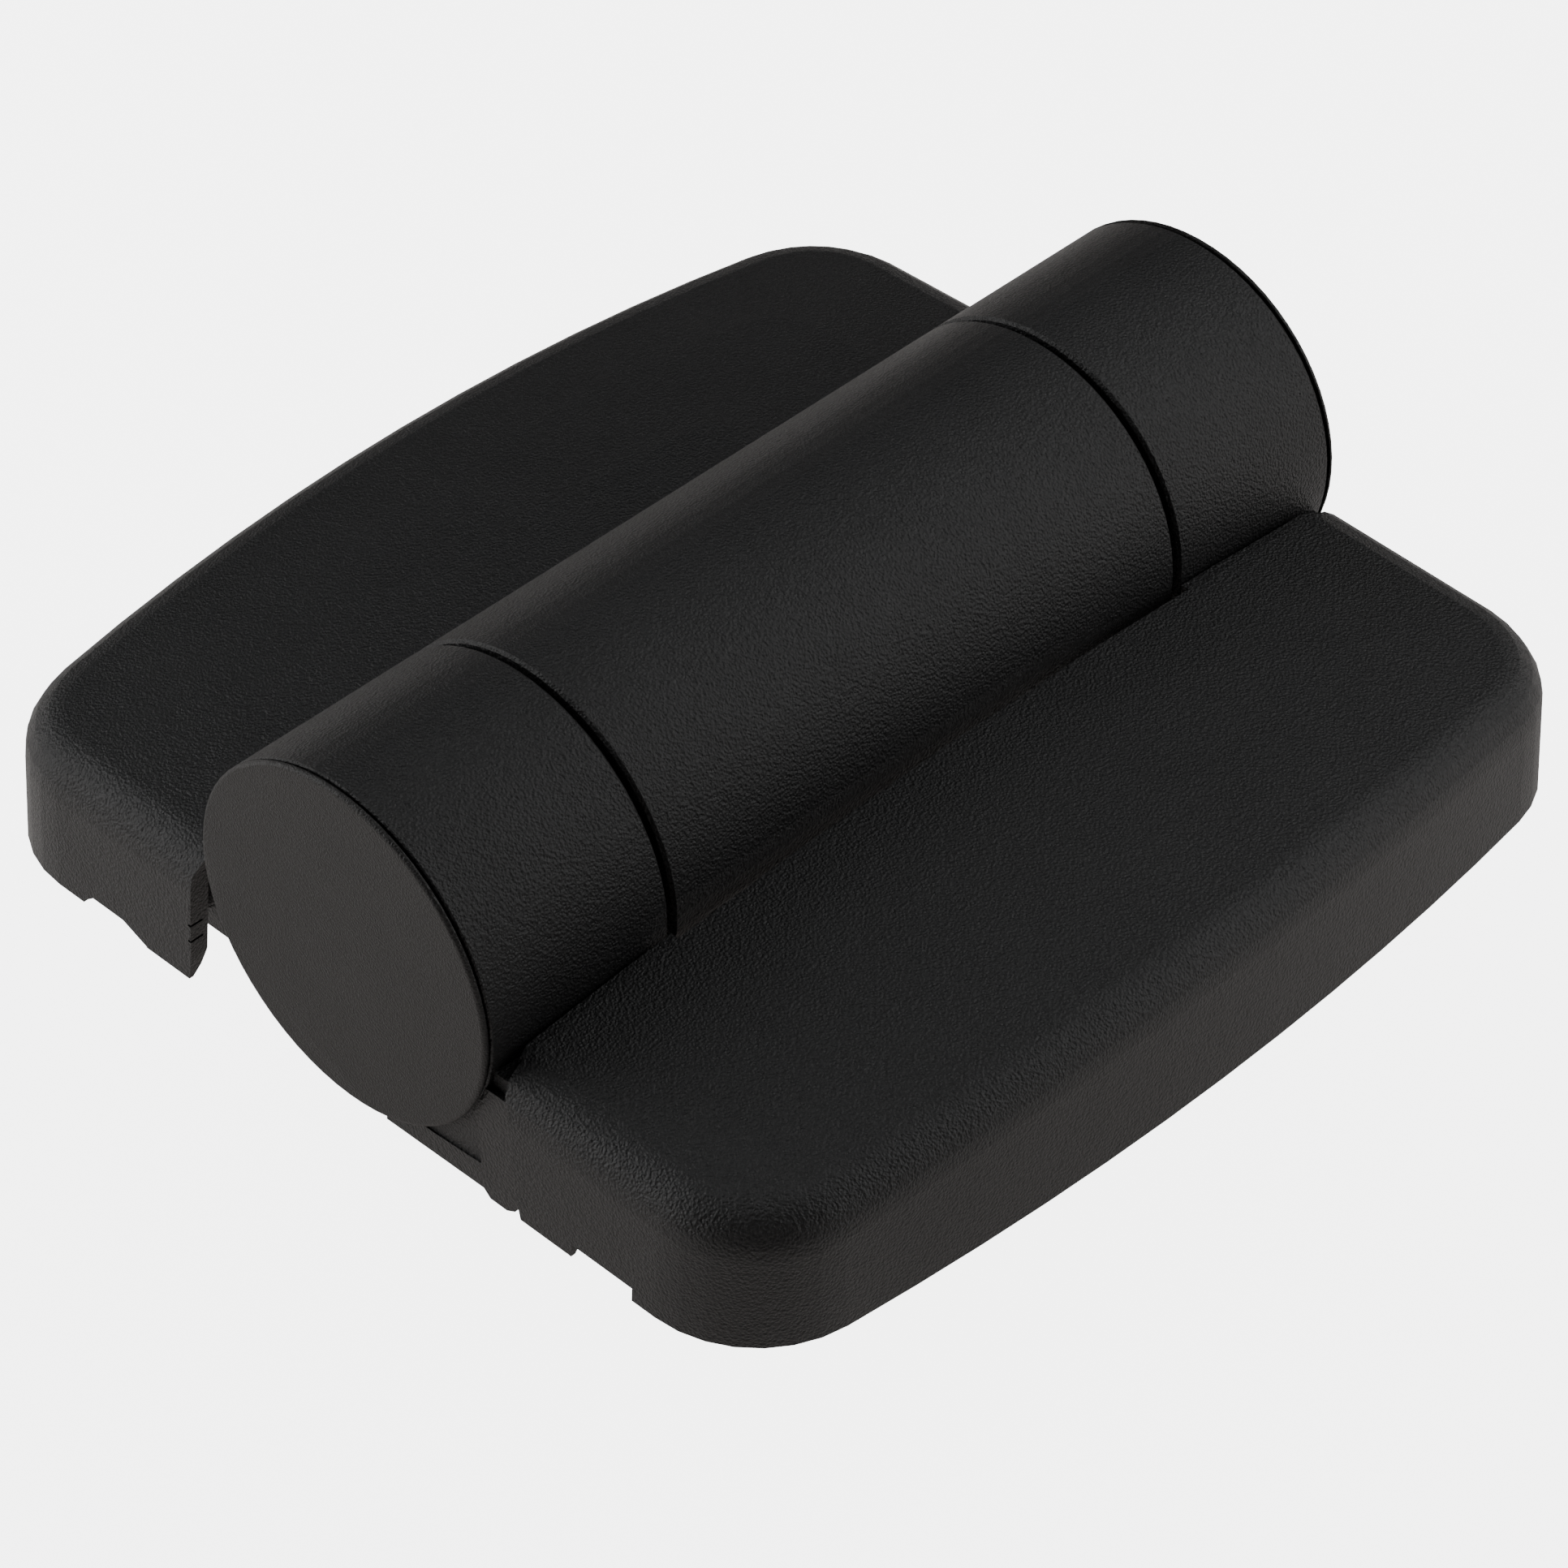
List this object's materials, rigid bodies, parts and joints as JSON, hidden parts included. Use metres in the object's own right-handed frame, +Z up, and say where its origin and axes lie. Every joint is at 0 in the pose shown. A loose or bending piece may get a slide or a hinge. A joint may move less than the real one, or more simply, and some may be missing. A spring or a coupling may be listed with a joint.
{
  "type": "covered plastic hinge",
  "caption": "Black moulded plastic hinge with surface-mounted leaves, clip-on screw covers, a steel pin and flush end caps on the barrel.",
  "frame": {"origin": "on the mounting plane, under the middle of the hinge pin", "axes": "+X towards the frame leaf with the two end knuckles, +Y along the hinge pin, +Z up from the mounting plane"},
  "size_m": [0.1068, 0.1108, 0.0371],
  "materials": {
    "black_plastic": "fine moulded grain, matte",
    "steel": "ground",
    "acetal": "smooth natural"
  },
  "bodies": {
    "frame_side": {"frame_leaf": "black_plastic", "frame_cover": "black_plastic", "hinge_pin": "steel", "end_cap_near": "black_plastic", "end_bush_near": "acetal", "pin_washer_near": "steel", "retaining_ring_near": "steel", "thrust_washer_near": "acetal", "frame_sleeve_near": "steel", "end_cap_far": "black_plastic", "end_bush_far": "acetal", "pin_washer_far": "steel", "retaining_ring_far": "steel", "thrust_washer_far": "acetal", "frame_sleeve_far": "steel"},
    "moving_side": {"moving_leaf": "black_plastic", "moving_cover": "black_plastic", "centre_bush_near": "acetal", "moving_sleeve_near": "steel", "centre_bush_far": "acetal", "moving_sleeve_far": "steel"}
  },
  "joints": [
    {"name": "leaf_hinge", "type": "hinge", "parent": "frame_side", "child": "moving_side", "pos_m": [0, 0, 0.01925], "axis": [0, 1, 0], "range_deg": [-35, 175]}
  ]
}
